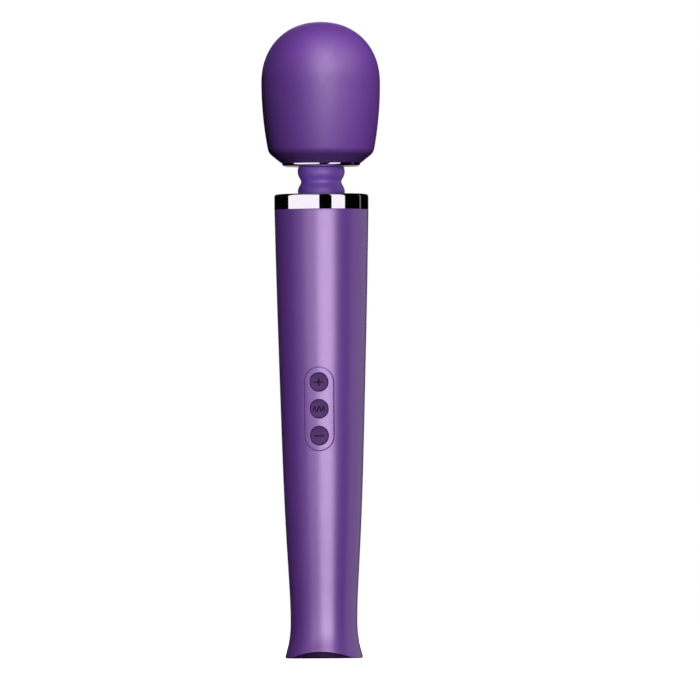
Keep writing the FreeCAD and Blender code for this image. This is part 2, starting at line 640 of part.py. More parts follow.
def neck():
    levels = [value(n) for n in ("low_rib_level", "valley_level", "high_rib_level", "sleeve_top")]
    rib, valley, bore, foot = (value(n) for n in ("rib_radius", "valley_radius", "sleeve_bore", "sleeve_foot"))
    flank = (rib + valley) / 2
    deck = value("deck_top")
    waves = [(rib - 0.2, deck), (rib, levels[0]), (flank, (levels[0] + levels[1]) / 2), (valley, levels[1]),
             (flank, (levels[1] + levels[2]) / 2), (rib, levels[2]), (rib - 0.3, levels[3])]
    under = value("deck_level + 0.1")
    edges = line(waves[-1], (bore, levels[3]), (bore, under), (foot, under), (foot, deck - 0.7), waves[0])
    node("neck_bellows", spun("neck_bellows", [curve(waves)] + edges))
    low = "ledge_level + ledge_height + anchor_height + 0.15"
    flange = "deck_level - 0.05"
    collar = "collar_level + collar_thickness"
    node("neck_core", turned(
        "neck_core", ("core_bore", low), ("core_flange", low), ("core_flange", flange), ("core_radius", flange),
        ("core_radius", f"{collar} + 0.05"), ("core_collar", f"{collar} + 0.05"),
        ("core_collar", f"{collar} + flange_thickness"), ("core_bore", f"{collar} + flange_thickness")))


# ------------------------------------------------------------------------------------------------
# Head: the silicone cover on a two-part housing, with the weight on its shaft and bearings
# ------------------------------------------------------------------------------------------------


def head_body(inset, floor, label):
    """The head as one solid above the height floor: a crown, a long side curve, a corner and a cone."""
    inset = value(inset)
    radius, equator = value("head_radius") - inset, value("head_equator")
    crown, power = value("crown_height") - inset, value("crown_power")
    side, corner = value("side_curve"), value("corner_curve") - inset
    first = math.asin((equator - value("corner_level")) / side)
    last = math.radians(value("cone_angle"))
    side_centre = (value("head_radius") - side, equator)
    reach = side - value("corner_curve")
    corner_centre = (side_centre[0] + reach * math.cos(first), equator - reach * math.sin(first))

    def on(centre, length, angle):
        return (centre[0] + length * math.cos(angle), centre[1] - length * math.sin(angle))

    def arc(centre, length, start, end):
        ends = [on(centre, length, a) for a in (start, (start + end) / 2, end)]
        return Part.Arc(*[V(r, 0, height) for r, height in ends]).toShape()

    turns = [math.radians(a) for a in (90, 80, 70, 58, 46, 34, 22, 10, 0)]
    dome = [(radius * math.cos(t) ** (2 / power), equator + crown * math.sin(t) ** (2 / power)) for t in turns]
    dome[0], dome[-1] = (0, equator + crown), (radius, equator)
    cone_start = on(corner_centre, corner, last)
    drop = cone_start[1] - value(floor)
    cone_end = (cone_start[0] - drop * math.tan(last), value(floor))
    edges = [
        curve(dome, InitialTangent=V(1, 0, 0), FinalTangent=V(0, 0, -1)),
        arc(side_centre, side - inset, 0, first),
        arc(corner_centre, corner, first, last),
    ]
    edges += line(cone_start, cone_end, (0, cone_end[1]), (0, equator + crown))
    return spun(label, edges)


def head():
    collar_top = "collar_level + collar_thickness"
    collar = turned("collar_plate", ("collar_hole", "collar_level"), ("collar_radius", "collar_level"),
                    ("collar_radius", collar_top), ("collar_hole", collar_top))
    edges = [("collar_radius", "collar_level"), ("collar_radius", collar_top)]
    node("collar_plate", rounded(collar, "collar_rounding", *edges))

    outside = head_body(0, f"{collar_top} + 0.05", "cover_outside")
    hollow = head_body("cover_thickness", f"{collar_top} + cover_lip", "cover_hollow")
    mouth = cylinder("cover_mouth", 10, (0, 0, "collar_level"))
    node("head_cover", cut(outside, hollow, mouth))

    shell = head_body("cover_thickness + skin_gap", "plate_level", "housing_outside")
    room = head_body("cover_thickness + skin_gap + head_wall", "plate_level + plate_thickness", "housing_room")
    below = cylinder(REACH, "split_level - 200", (0, 0, 200))
    above = cylinder(REACH, 60, (0, 0, "split_level + 0.1"))
    wall = cut(shell, room)
    inner_wall = "head_radius - cover_thickness - head_wall"
    tongue = tube(f"{inner_wall} - 0.5", f"{inner_wall} - 1.5", 6, (0, 0, "split_level - 3"))
    root = tube(f"{inner_wall} + 0.4", f"{inner_wall} - 1.5", 3, (0, 0, "split_level - 3.4"))
    seat = tube("bearing_radius + 2.4", "bearing_radius + 0.01", "bearing_width + 0.9",
                (0, 0, "low_bearing - 0.5"))
    circle = value("post_circle")
    posts = [cylinder("post_radius", "split_level - plate_level", at)
             for at in on_circle(circle, 4, "plate_level", 45)]
    body = fuse(common(wall, below), seat, tongue, root, common(fuse(*posts), shell))
    drills = [cylinder(1.35, 60, at) for at in on_circle(circle, 4, "plate_level - 1", 45)]
    drills += [cylinder(2.3, 5, at) for at in on_circle(circle, 4, "plate_level - 1", 45)]
    bore = cylinder("hub_radius + 1.5", 20, (0, 0, "plate_level - 1"))
    node("head_base", cut(body, *drills, bore))

    top = common(wall, above)
    boss = tube("bearing_radius + 2.4", "bearing_radius + 0.01", 30, (0, 0, "high_bearing - 0.4"))
    stop = tube("bearing_radius + 1", "shaft_radius + 3.4", 20, (0, 0, "high_bearing + bearing_width + 0.05"))
    columns = [cylinder("post_radius", 30, at) for at in on_circle(circle, 4, "split_level + 0.1", 45)]
    fins = [spoke((16, 1.6, 24), 11, "high_bearing", 90 * i) for i in range(4)]
    inner = common(fuse(boss, stop, *columns, *fins), shell)
    threads = [cylinder(1.1, 12, at) for at in on_circle(circle, 4, "split_level", 45)]
    node("head_dome", cut(fuse(top, inner), *threads))
    heads = on_circle(circle, 4, "plate_level + 3.98", 45)
    node("head_screws", group(*[screw(1.05, 2.1, 1.6, 42, at) for at in heads]))


def bearing_set(foot):
    """One ball bearing's rings, balls and cage, its lower face at the height foot."""
    middle = f"{foot} + bearing_width / 2"
    groove = bind(doc.addObject("Part::Torus", "groove"), Radius1="ball_circle", Radius2="ball_radius + 0.03")
    place(groove, (0, 0, middle))
    inner = cut(tube("race_inner", "shaft_radius + 0.01", "bearing_width", (0, 0, foot)), groove)
    outer = cut(tube("bearing_radius", "race_outer", "bearing_width", (0, 0, foot)), groove)
    places = on_circle(value("ball_circle"), 7, middle)
    balls = [ball("ball_radius", at) for at in places]
    pockets = []
    for x, y, _ in places:
        outwards = FreeCAD.Rotation(V(0, 0, 1), V(x, y, 0))
        pockets.append(cylinder("ball_radius + 0.06", 4, (0.7 * x, 0.7 * y, middle), outwards))
    band = tube("ball_circle + 0.55", "ball_circle - 0.55", 4.0, (0, 0, f"{middle} - 2.0"))
    return inner, outer, balls, cut(band, *pockets)


def head_drive():
    sets = [bearing_set(level) for level in ("low_bearing", "high_bearing")]
    inners, outers, balls, cages = zip(*sets)
    node("bearing_inner_rings", group(*inners))
    node("bearing_outer_rings", group(*outers))
    node("bearing_balls", group(*balls[0], *balls[1]))
    node("bearing_cages", group(*cages))
    node("head_shaft", cylinder("shaft_radius", "shaft_length", (0, 0, "shaft_foot")))
    half = common(cylinder("weight_radius", "weight_height", (0, 0, "weight_level")), half_space(1, 0))
    hub = cylinder("weight_hub", "weight_height", (0, 0, "weight_level"))
    middle = "weight_level + weight_height / 2"
    thread = across(1.5, 10, (0, -10, middle))
    bore = cylinder("shaft_radius + 0.01", 60, (0, 0, "shaft_foot"))
    node("eccentric_weight", cut(fuse(half, hub), bore, thread))
    stub = across(1.45, "weight_hub - shaft_radius - 0.2", (0, "-weight_hub + 0.1", middle))
    hexagon = doc.addObject("Part::Prism", "socket")
    hexagon.Polygon = 6
    bind(hexagon, Circumradius=0.85, Height=1.2)
    place(hexagon, (0, "-weight_hub + 0.1", middle), TOWARDS_BACK)
    node("weight_screw", cut(stub, hexagon))


# ------------------------------------------------------------------------------------------------
# Build, check and write
# ------------------------------------------------------------------------------------------------

for build in (shells, ring_and_deck, base, buttons, control_board, battery, chassis, leads,
              motor_case, rotor, coupling, neck, head, head_drive):
    build()
doc.recompute()

broken = [item.Label for item in doc.Objects if {"Invalid", "Error"} & set(item.State)]
if broken:
    raise SystemExit(f"these objects failed to build: {broken}")

os.makedirs("parts", exist_ok=True)
for old in os.listdir("parts"):
    os.remove(os.path.join("parts", old))
for item in NODES:
    shape = item.Shape
    if shape.isNull() or not shape.isValid() or shape.Volume <= 0:
        raise SystemExit(f"{item.Label} has no valid shape")
    shape.exportStep(os.path.join("parts", item.Label + ".step"))
    print(f"{item.Label}: {len(shape.Solids)} solid(s), {shape.Volume / 1000:.2f} cm3")
print(len(NODES), "nodes")
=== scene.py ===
import json
import math

import bmesh
import bpy
import numpy as np
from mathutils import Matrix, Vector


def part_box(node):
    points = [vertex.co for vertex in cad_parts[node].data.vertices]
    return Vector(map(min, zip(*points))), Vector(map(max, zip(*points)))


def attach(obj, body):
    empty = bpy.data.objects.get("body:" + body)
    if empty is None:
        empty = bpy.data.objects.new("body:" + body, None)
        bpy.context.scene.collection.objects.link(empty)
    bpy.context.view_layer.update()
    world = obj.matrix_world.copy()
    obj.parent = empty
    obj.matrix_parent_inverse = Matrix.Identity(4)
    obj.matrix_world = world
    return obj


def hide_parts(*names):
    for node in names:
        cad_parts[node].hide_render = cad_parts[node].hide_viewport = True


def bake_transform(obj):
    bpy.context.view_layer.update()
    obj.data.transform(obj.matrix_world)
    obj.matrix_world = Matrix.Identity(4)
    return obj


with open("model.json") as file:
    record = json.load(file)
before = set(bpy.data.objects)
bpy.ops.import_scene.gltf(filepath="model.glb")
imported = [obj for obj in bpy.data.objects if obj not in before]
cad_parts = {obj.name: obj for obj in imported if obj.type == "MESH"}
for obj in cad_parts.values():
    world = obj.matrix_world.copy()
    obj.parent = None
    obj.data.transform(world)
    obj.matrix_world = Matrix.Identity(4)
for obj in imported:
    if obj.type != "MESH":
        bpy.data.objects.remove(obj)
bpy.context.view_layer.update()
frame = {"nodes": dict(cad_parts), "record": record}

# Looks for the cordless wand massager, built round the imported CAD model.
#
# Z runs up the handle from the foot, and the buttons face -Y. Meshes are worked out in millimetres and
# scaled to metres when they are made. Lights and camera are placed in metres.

MM = 0.001
FRONT = -math.pi / 2  # the buttons' side of the handle, as an angle about Z
REAR = math.pi / 2


def span(node):
    """A CAD node's lowest and highest corner in millimetres."""
    low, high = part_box(node)
    return [c / MM for c in low], [c / MM for c in high]


def foot_and_top(node):
    """A CAD node's lowest and highest point in millimetres."""
    low, high = span(node)
    return low[2], high[2]


# ------------------------------------------------------------------------------------------------
# Node materials
# ------------------------------------------------------------------------------------------------


class Shader:
    """One procedural material, made node by node."""

    def __init__(self, name):
        self.material = bpy.data.materials.new(name)
        self.material.use_nodes = True
        self.tree = self.material.node_tree
        self.surface = self.tree.nodes["Principled BSDF"]
        self.place = self.add("ShaderNodeTexCoord").outputs["Object"]

    def add(self, kind, inputs=None, **settings):
        """A node with its settings and inputs; each input is a number or another node's socket."""
        node = self.tree.nodes.new(kind)
        for key, setting in settings.items():
            setattr(node, key, setting)
        for key, source in (inputs or {}).items():
            if isinstance(source, bpy.types.NodeSocket):
                self.tree.links.new(source, node.inputs[key])
            else:
                node.inputs[key].default_value = source
        return node

    def set(self, **sockets):
        """Numbers for the shader's own sockets, whose names are written with _ for a space."""
        for key, number in sockets.items():
            self.surface.inputs[key.replace("_", " ")].default_value = number

    def link(self, source, socket):
        """A node's output led into one of the shader's own sockets."""
        self.tree.links.new(source, self.surface.inputs[socket])

    def noise(self, size, detail=3.0, roughness=0.5, stretch=(1, 1, 1)):
        """Noise whose features are about size millimetres across."""
        mapping = self.add("ShaderNodeMapping", {"Vector": self.place, "Scale": stretch})
        inputs = {"Vector": mapping.outputs[0], "Scale": 1 / (size * MM)}
        inputs |= {"Detail": detail, "Roughness": roughness}
        return self.add("ShaderNodeTexNoise", inputs).outputs["Fac"]

    def cells(self, size):
        """One random colour and one distance for each cell about size millimetres across."""
        return self.add("ShaderNodeTexVoronoi", {"Vector": self.place, "Scale": 1 / (size * MM)})

    def ramp(self, source, *stops):
        """The source spread over colours or grey levels, given as (position, colour)."""
        node = self.add("ShaderNodeValToRGB", {"Fac": source})
        ramp = node.color_ramp
        while len(ramp.elements) < len(stops):
            ramp.elements.new(0.5)
        for element, (position, colour) in zip(ramp.elements, stops):
            element.position = position
            element.color = colour if isinstance(colour, tuple) else (colour, colour, colour, 1)
        return node.outputs["Color"]

    def mix(self, factor, first, second):
        """The first colour blended into the second; 0, 6 and 7 are a mix node's factor and colours."""
        return self.add("ShaderNodeMix", {0: factor, 6: first, 7: second}, data_type="RGBA").outputs[2]

    def bump(self, *layers):
        """Height layers, each as (source, depth in millimetres), summed into the surface's normal."""
        normal = None
        for source, depth in layers:
            inputs = {"Height": source, "Distance": depth * MM, "Strength": 1.0}
            if normal is not None:
                inputs["Normal"] = normal
            normal = self.add("ShaderNodeBump", inputs).outputs["Normal"]
        self.link(normal, "Normal")


def shade(colour, factor):
    """A colour made lighter or darker, with its alpha."""
    return tuple(min(1.0, c * factor) for c in colour[:3]) + (1.0,)


PEARL = (1.0, 0.79, 0.90, 1.0)  # the tint of the paint's gloss


def metallic_paint(name, colour):
    """Satin pearl paint: fine flakes under a soft clear coat."""
    s = Shader(name)
    flake = s.cells(0.16)
    sparkle = s.ramp(flake.outputs["Color"], (0.15, shade(colour, 0.90)), (0.85, shade(colour, 1.12)))
    cloud = s.ramp(s.noise(28, 2), (0.3, shade(colour, 0.96)), (0.7, shade(colour, 1.04)))
    s.link(s.mix(0.5, sparkle, cloud), "Base Color")
    s.link(s.ramp(s.noise(3, 5, 0.6), (0.3, 0.33), (0.7, 0.37)), "Roughness")
    s.set(Metallic=0.12, IOR=2.05, Specular_Tint=PEARL, Coat_Weight=0.12, Coat_Roughness=0.22)
    s.bump((flake.outputs["Distance"], 0.0012), (s.noise(1.6, 4), 0.0025))
    return s.material


def silicone(name, colour):
    """Matte silicone: a fine moulded grain, a little dust in it, and a soft sheen."""
    s = Shader(name)
    body = s.ramp(s.noise(18, 3), (0.3, shade(colour, 0.93)), (0.7, shade(colour, 1.06)))
    dust = s.ramp(s.noise(0.5, 2), (0.72, 0.0), (0.86, 0.16))
    s.link(s.mix(dust, body, shade(colour, 1.35)), "Base Color")
    s.link(s.ramp(s.noise(2.5, 5, 0.65), (0.3, 0.53), (0.7, 0.60)), "Roughness")
    s.set(IOR=1.95, Specular_Tint=PEARL, Sheen_Weight=0.02, Sheen_Roughness=0.5)
    s.surface.inputs["Sheen Tint"].default_value = shade(colour, 2.2)
    s.bump((s.noise(0.35, 3, 0.6), 0.008), (s.noise(6, 2), 0.02))
    return s.material


def polished_metal(name, colour):
    """Bright plated metal with faint wiping marks."""
    s = Shader(name)
    wipe = s.noise(2.2, 6, 0.7, (1, 1, 6))
    s.link(s.ramp(wipe, (0.35, shade(colour, 0.97)), (0.65, shade(colour, 1.03))), "Base Color")
    s.link(s.ramp(s.noise(5, 5, 0.6), (0.35, 0.035), (0.75, 0.075)), "Roughness")
    s.set(Metallic=1.0)
    s.bump((s.noise(9, 2), 0.004))
    return s.material


def moulded_plastic(name, colour, rough, grain=0.012, gloss=0.5):
    """Moulded plastic: a fine spark-eroded grain and slight colour drift."""
    s = Shader(name)
    s.link(s.ramp(s.noise(9, 4), (0.3, shade(colour, 0.92)), (0.7, shade(colour, 1.08))), "Base Color")
    s.link(s.ramp(s.noise(1.2, 4, 0.6), (0.3, rough * 0.88), (0.7, rough * 1.12)), "Roughness")
    s.set(Specular_IOR_Level=gloss)
    s.bump((s.noise(0.3, 3, 0.6), grain))
    return s.material


def worked_metal(name, colour, rough):
    """Turned or drawn metal: fine tool marks round the axis."""
    s = Shader(name)
    marks = s.noise(0.6, 5, 0.7, (0.15, 0.15, 1.6))
    s.link(s.ramp(marks, (0.3, shade(colour, 0.86)), (0.7, shade(colour, 1.10))), "Base Color")
    s.link(s.ramp(marks, (0.3, rough * 0.8), (0.7, rough * 1.2)), "Roughness")
    s.set(Metallic=1.0)
    s.bump((marks, 0.006))
    return s.material


def inner_material(slot):
    """A material for the CAD nodes of one of the record's slots, by its class."""
    colour = tuple(slot["base_color"][:3])
    kind = slot["class"]
    name = slot["slot"] + "_look"
    if kind == "chrome":
        return polished_metal(name, colour)
    if kind in ("brushed_steel", "aluminium", "brass", "cast_iron", "painted_metal"):
        return worked_metal(name, colour, 0.34)
    return moulded_plastic(name, colour, 0.34 if kind == "gloss_plastic" else 0.55)


PAINT = metallic_paint("pearl_paint", (0.149, 0.046, 0.318))
SILICONE = silicone("matte_silicone", (0.128, 0.034, 0.300))
SLEEVE = silicone("sleeve_silicone", (0.112, 0.034, 0.350))
STEEL = worked_metal("spring_steel", (0.62, 0.62, 0.63), 0.34)
CHROME = polished_metal("bright_chrome_look", (0.93, 0.87, 0.96))
BUTTON = moulded_plastic("button_plastic", (0.082, 0.025, 0.145), 0.50, 0.004, 0.16)
ICON = moulded_plastic("icon_ink", (0.012, 0.003, 0.022), 0.6, 0.004, 0.08)
RUBBER = moulded_plastic("core_rubber", (0.04, 0.04, 0.05), 0.6, 0.010, 0.3)
CAP = moulded_plastic("cap_plastic", (0.020, 0.004, 0.036), 0.45, 0.003, 0.08)

# ------------------------------------------------------------------------------------------------
# Mesh helpers
# ------------------------------------------------------------------------------------------------


class Mesh:
    """Vertices and faces gathered in millimetres, then made into one object."""

    def __init__(self):
        self.points = []
        self.faces = []

    def ring(self, points):
        """Adds the points and gives their numbers back."""
        start = len(self.points)
        self.points.extend(points)
        return list(range(start, start + len(points)))

    def band(self, first, second, closed=True):
        """Quads between two rows of vertices of the same length."""
        count = len(first)
        for i in range(count if closed else count - 1):
            j = (i + 1) % count
            self.faces.append((first[i], first[j], second[j], second[i]))

    def fan(self, first, second):
        """A closed band whose first or second ring may be one vertex repeated, which leaves triangles."""
        for i in range(len(first)):
            j = (i + 1) % len(first)
            self.faces.append(tuple(dict.fromkeys((first[i], first[j], second[j], second[i]))))

    def plain(self, name):
        """The plain object with these points and faces, linked into the scene."""
        mesh = bpy.data.meshes.new(name)
        mesh.from_pydata([tuple(c * MM for c in p) for p in self.points], [], self.faces)
        piece = bpy.data.objects.new(name, mesh)
        bpy.context.scene.collection.objects.link(piece)
        return piece

    def make(self, name, material, sharp=38):
        """One piece of the object, smooth except at edges sharper than that many degrees."""
        piece = self.plain(name)
        mesh = piece.data
        mesh.update()
        tidy_mesh(mesh)
        mesh.shade_smooth()
        mesh.set_sharp_from_angle(angle=math.radians(sharp))
        mesh.materials.append(material)
        return piece


def tidy_mesh(mesh):
    """Welds touching vertices, drops empty faces and turns every face outwards."""
    b = bmesh.new()
    b.from_mesh(mesh)
    bmesh.ops.remove_doubles(b, verts=b.verts, dist=2e-7)
    bmesh.ops.dissolve_degenerate(b, dist=1e-7, edges=b.edges)
    bmesh.ops.recalc_face_normals(b, faces=b.faces)
    b.to_mesh(mesh)
    b.free()


def circle(radius, height, around):
    """Points round the Z axis at a height."""
    turns = [2 * math.pi * i / around for i in range(around)]
    return [(radius * math.cos(t), radius * math.sin(t), height) for t in turns]


def lathe(name, profile, material, around=144, sharp=38):
    """A solid turned about Z from a closed (radius, height) profile; a radius of 0 closes at the axis."""
    m = Mesh()
    rings = []
    for r, z in profile:
        on_axis = r < 1e-6
        rings.append(m.ring([(0, 0, z)]) * around if on_axis else m.ring(circle(r, z, around)))
    for first, second in zip(rings, rings[1:] + rings[:1]):
        if first[0] == first[1] and second[0] == second[1]:
            continue
        m.fan(first, second)
    return m.make(name, material, sharp)


def arc(centre, radius, start, end, steps=6):
    """Points on an arc, from angle start to end in degrees, measured from +r towards +z."""
    angles = [math.radians(start + (end - start) * i / steps) for i in range(steps + 1)]
    return [(centre[0] + radius * math.cos(a), centre[1] + radius * math.sin(a)) for a in angles]


def steps(first, last, count):
    """Evenly spread points from first to last, both included."""
    return [tuple(a + (b - a) * i / count for a, b in zip(first, last)) for i in range(count + 1)]


def cubic(points):
    """A smooth function through (x, y) points with free ends."""
    x, y = (np.array(c, float) for c in zip(*points))
    n = len(x)
    h = np.diff(x)
    a = np.zeros((n, n))
    b = np.zeros(n)
    a[0, 0] = a[-1, -1] = 1
    for i in range(1, n - 1):
        a[i, i - 1], a[i, i], a[i, i + 1] = h[i - 1], 2 * (h[i - 1] + h[i]), h[i]
        b[i] = 6 * ((y[i + 1] - y[i]) / h[i] - (y[i] - y[i - 1]) / h[i - 1])
    m = np.linalg.solve(a, b)

    def at(v):
        i = int(np.clip(np.searchsorted(x, v) - 1, 0, n - 2))
        t, u = v - x[i], x[i + 1] - v
        line = (y[i] / h[i] - m[i] * h[i] / 6) * u + (y[i + 1] / h[i] - m[i + 1] * h[i] / 6) * t
        return line + (m[i] * u**3 + m[i + 1] * t**3) / (6 * h[i])

    return at


def edge_drop(distance, radius):
    """How far a rounded edge of that radius lies below the surface at a distance from the edge."""
    if distance >= radius:
        return 0.0
    inside = radius - max(distance, 0.0)
    return radius - math.sqrt(max(radius**2 - inside**2, 0.0))


# ------------------------------------------------------------------------------------------------
# Handle shells and the button panel
# ------------------------------------------------------------------------------------------------

FOOT_EDGE = 1.0  # the height where the foot's rounding ends
FOOT_ROUNDING, ARCH_ROUNDING = 0.95, 0.35  # radii of the foot's edge beside the arch and along it
HANDLE_STATIONS = [(FOOT_EDGE, 20.55), (4.2, 19.75), (9.5, 18.5), (22.0, 17.7), (41.3, 18.45),
                   (62.0, 19.62), (142.0, 22.55), (190.0, 23.9), (237.75, 24.95)]  # height, radius
FOOT_SPREAD = 0.12  # how much the radius grows for each millimetre below the foot's edge
side_line = cubic(HANDLE_STATIONS)
SHELL_TOP = foot_and_top("top_ring")[0] - 0.04
SHELL_TOP_ROUNDING = 0.22
WALL = 2.4
SEAM = 0.06  # half of the gap between the two shells
SEAM_ROUNDING = 0.32
MEAN_RADIUS = 22  # turns distances round the handle into angles
PLUS = sum(foot_and_top("plus_button")) / 2
MODE = sum(foot_and_top("mode_button")) / 2
MINUS = sum(foot_and_top("minus_button")) / 2
PANEL_HALF = (span("button_panel")[1][0] - span("button_panel")[0][0]) / 2
RECESS_HALF = PANEL_HALF + 0.05
RECESS_DEPTH, RECESS_LEDGE, RECESS_LIP = 1.4, 2.0, 0.08
WINDOW_TURN = 31  # degrees each side of the middle
WINDOW_REACH = 12.5  # past the middles of the end buttons
BUTTON_HOLE = 5.0
ARCH_RISE, ARCH_CURVE, ARCH_FADE = 3.45, 42.0, 11.4  # the foot's arch; its lift fades out at the last
EDGE_REACH, EDGE_DROP = 0.6, 0.17  # width and depth of the panel's soft edge


def handle_radius(z):
    """The handle's outer radius at a height, its foot's rounding left out."""
    return side_line(z) if z >= FOOT_EDGE else side_line(FOOT_EDGE) + (FOOT_EDGE - z) * FOOT_SPREAD


def on_handle(x, z, depth):
    """A point on the front of the handle, seen straight on at (x, z), a depth under its surface."""
    r = handle_radius(z) - depth
    return (x, -math.sqrt(r * r - x * x), z)


def arch_height(x):
    """How high the foot's arch is at a distance from the middle."""
    reach = ARCH_CURVE**2 - x * x
    return max(0.0, ARCH_RISE - ARCH_CURVE + math.sqrt(reach))


def panel_slope(distance):
    """How deep the panel's soft edge lies, at a distance in from its outline."""
    share = min(max(distance, 0.0) / EDGE_REACH, 1.0)
    return EDGE_DROP * (1 + math.cos(math.pi * share)) / 2


def pill_nearest(x, z, half):
    """The nearest point on the outline of a pill of that half width round the three buttons."""
    middle = min(max(z, MINUS), PLUS)
    dx, dz = x, z - middle
    length = math.hypot(dx, dz)
    return (half * dx / length, middle + half * dz / length)


def nearest_index(values, wanted):
    """The place in a list of the value that is nearest to the wanted one."""
    return min(range(len(values)), key=lambda k: abs(values[k] - wanted))


def shell(name, node, facing, windowed):
    """One half of the handle, a closed solid with a wall, rounded edges and the foot's arch."""
    m = Mesh()
    half = math.pi / 2
    foot = side_line(FOOT_EDGE)
    rim = [(SEAM + v) / MEAN_RADIUS for v in (0.0, 0.04, 0.1, 0.2, 0.35)]
    turns = [-half + v for v in rim] + list(np.linspace(-half, half, 97)[1:-1])
    turns += [half - v for v in rim[::-1]]
    low = [0.0, 0.06, 0.16, 0.32, 0.55, 0.8, 1.0]  # shares of the foot's rounding
    coarse, fine = 2.4, 1.3  # the rows' spacing, and the closer one beside the panel
    rows = [1.6, 2.6, 3.8, 5.2, 7.0, 9.0]
    rows += list(np.arange(ARCH_FADE, 105, coarse)) + list(np.arange(105, 160, fine))
    rows += list(np.arange(160.6, SHELL_TOP - 1, coarse)) + [SHELL_TOP - d for d in (0.25, 0.12, 0.04, 0.0)]

    def outer_drop(level, height, turn, rounding):
        """How far the rounded edges lie under the handle's plain round surface."""
        drop = edge_drop(level, rounding)
        drop += edge_drop(SHELL_TOP - height, SHELL_TOP_ROUNDING)
        return drop + edge_drop((half - abs(turn)) * MEAN_RADIUS - SEAM, SEAM_ROUNDING)

    def grid(inner):
        """The outer or the inner skin's vertices, a column of them for each turn."""
        table = []
        for turn in turns:
            rise = arch_height(foot * math.sin(turn))
            rounding = max(ARCH_ROUNDING, FOOT_ROUNDING - rise * 0.9)
            column = []
            for level in [rounding * v for v in low] + rows:
                height = level + rise * max(0.0, 1 - level / ARCH_FADE)
                r = handle_radius(height) - (WALL if inner else outer_drop(level, height, turn, rounding))
                column.append((r * math.cos(facing + turn), r * math.sin(facing + turn), height))
            table.append(m.ring(column))
        return table

    outer, inner = grid(False), grid(True)
    levels = low + rows
    window = None
    if windowed:
        edge = math.radians(WINDOW_TURN)
        window = (nearest_index(turns, -edge), nearest_index(turns, edge),
                  nearest_index(levels, MINUS - WINDOW_REACH), nearest_index(levels, PLUS + WINDOW_REACH))
    for table, flip in ((outer, False), (inner, True)):
        for k in range(len(turns) - 1):
            for j in range(len(levels) - 1):
                if window and window[0] <= k < window[1] and window[2] <= j < window[3]:
                    continue
                face = (table[k][j], table[k + 1][j], table[k + 1][j + 1], table[k][j + 1])
                m.faces.append(face[::-1] if flip else face)
    for side in (0, -1):
        m.band(outer[side], inner[side], closed=False)
        m.band([c[side] for c in outer], [c[side] for c in inner], closed=False)
    if window:
        cut_window(m, outer, inner, window)
    piece = m.make(name, PAINT, 40)
    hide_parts(node)
    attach(piece, "handle")


def cut_window(m, outer, inner, window):
    """Fills the gap in the front shell's grid with rings that close on the pill-shaped recess."""
    first, last, bottom, top = window
    loop = [(k, bottom) for k in range(first, last)] + [(last, j) for j in range(bottom, top)]
    loop += [(k, top) for k in range(last, first, -1)] + [(first, j) for j in range(top, bottom, -1)]
    start = [outer[k][j] for k, j in loop]
    end = [inner[k][j] for k, j in loop]
    rings = [start]

    def ring(half, depth, share=1.0, source=start):
        """A ring some share of the way from the grid's vertices to a pill of that half width."""
        points = []
        for vertex in source:
            x, _, z = m.points[vertex]
            px, pz = pill_nearest(x, z, half)
            points.append(on_handle(x + (px - x) * share, z + (pz - z) * share, depth))
        rings.append(m.ring(points))

    for share in (0.3, 0.55, 0.75, 0.9, 0.97):
        ring(RECESS_HALF + RECESS_LIP, 0.0, share)
    for out in np.linspace(RECESS_LIP, 0, 5):
        ring(RECESS_HALF + out, edge_drop(out, RECESS_LIP))
    ring(RECESS_HALF, RECESS_DEPTH)
    ring(RECESS_HALF - RECESS_LEDGE, RECESS_DEPTH)
    ring(RECESS_HALF - RECESS_LEDGE, WALL)
    for share in (0.75, 0.4):
        ring(RECESS_HALF - RECESS_LEDGE, WALL, share, end)
    rings.append(end)
    for one, two in zip(rings, rings[1:]):
        m.band(one, two)


def cell_outline(centre, low, high):
    """The outline of one button's share of the panel; a low or high of None is a rounded end."""
    half = PANEL_HALF
    if low is None:
        loop = [(half * math.cos(a), centre + half * math.sin(a)) for a in np.linspace(-math.pi, 0, 49)]
    else:
        loop = [(x, low) for x in np.linspace(-half, half, 33)]
        loop += [(half, z) for z in np.linspace(low, centre, 9)[1:]]
    if high is None:
        loop += [(half * math.cos(a), centre + half * math.sin(a)) for a in np.linspace(0, math.pi, 49)[1:]]
    else:
        loop += [(half, z) for z in np.linspace(centre, high, 9)[1:]]
        loop += [(x, high) for x in np.linspace(half, -half, 33)[1:]]
        loop += [(-half, z) for z in np.linspace(high, centre, 9)[1:]]
    if low is None:
        return loop[:-1]
    return loop + [(-half, z) for z in np.linspace(centre, low, 9)[1:-1]]


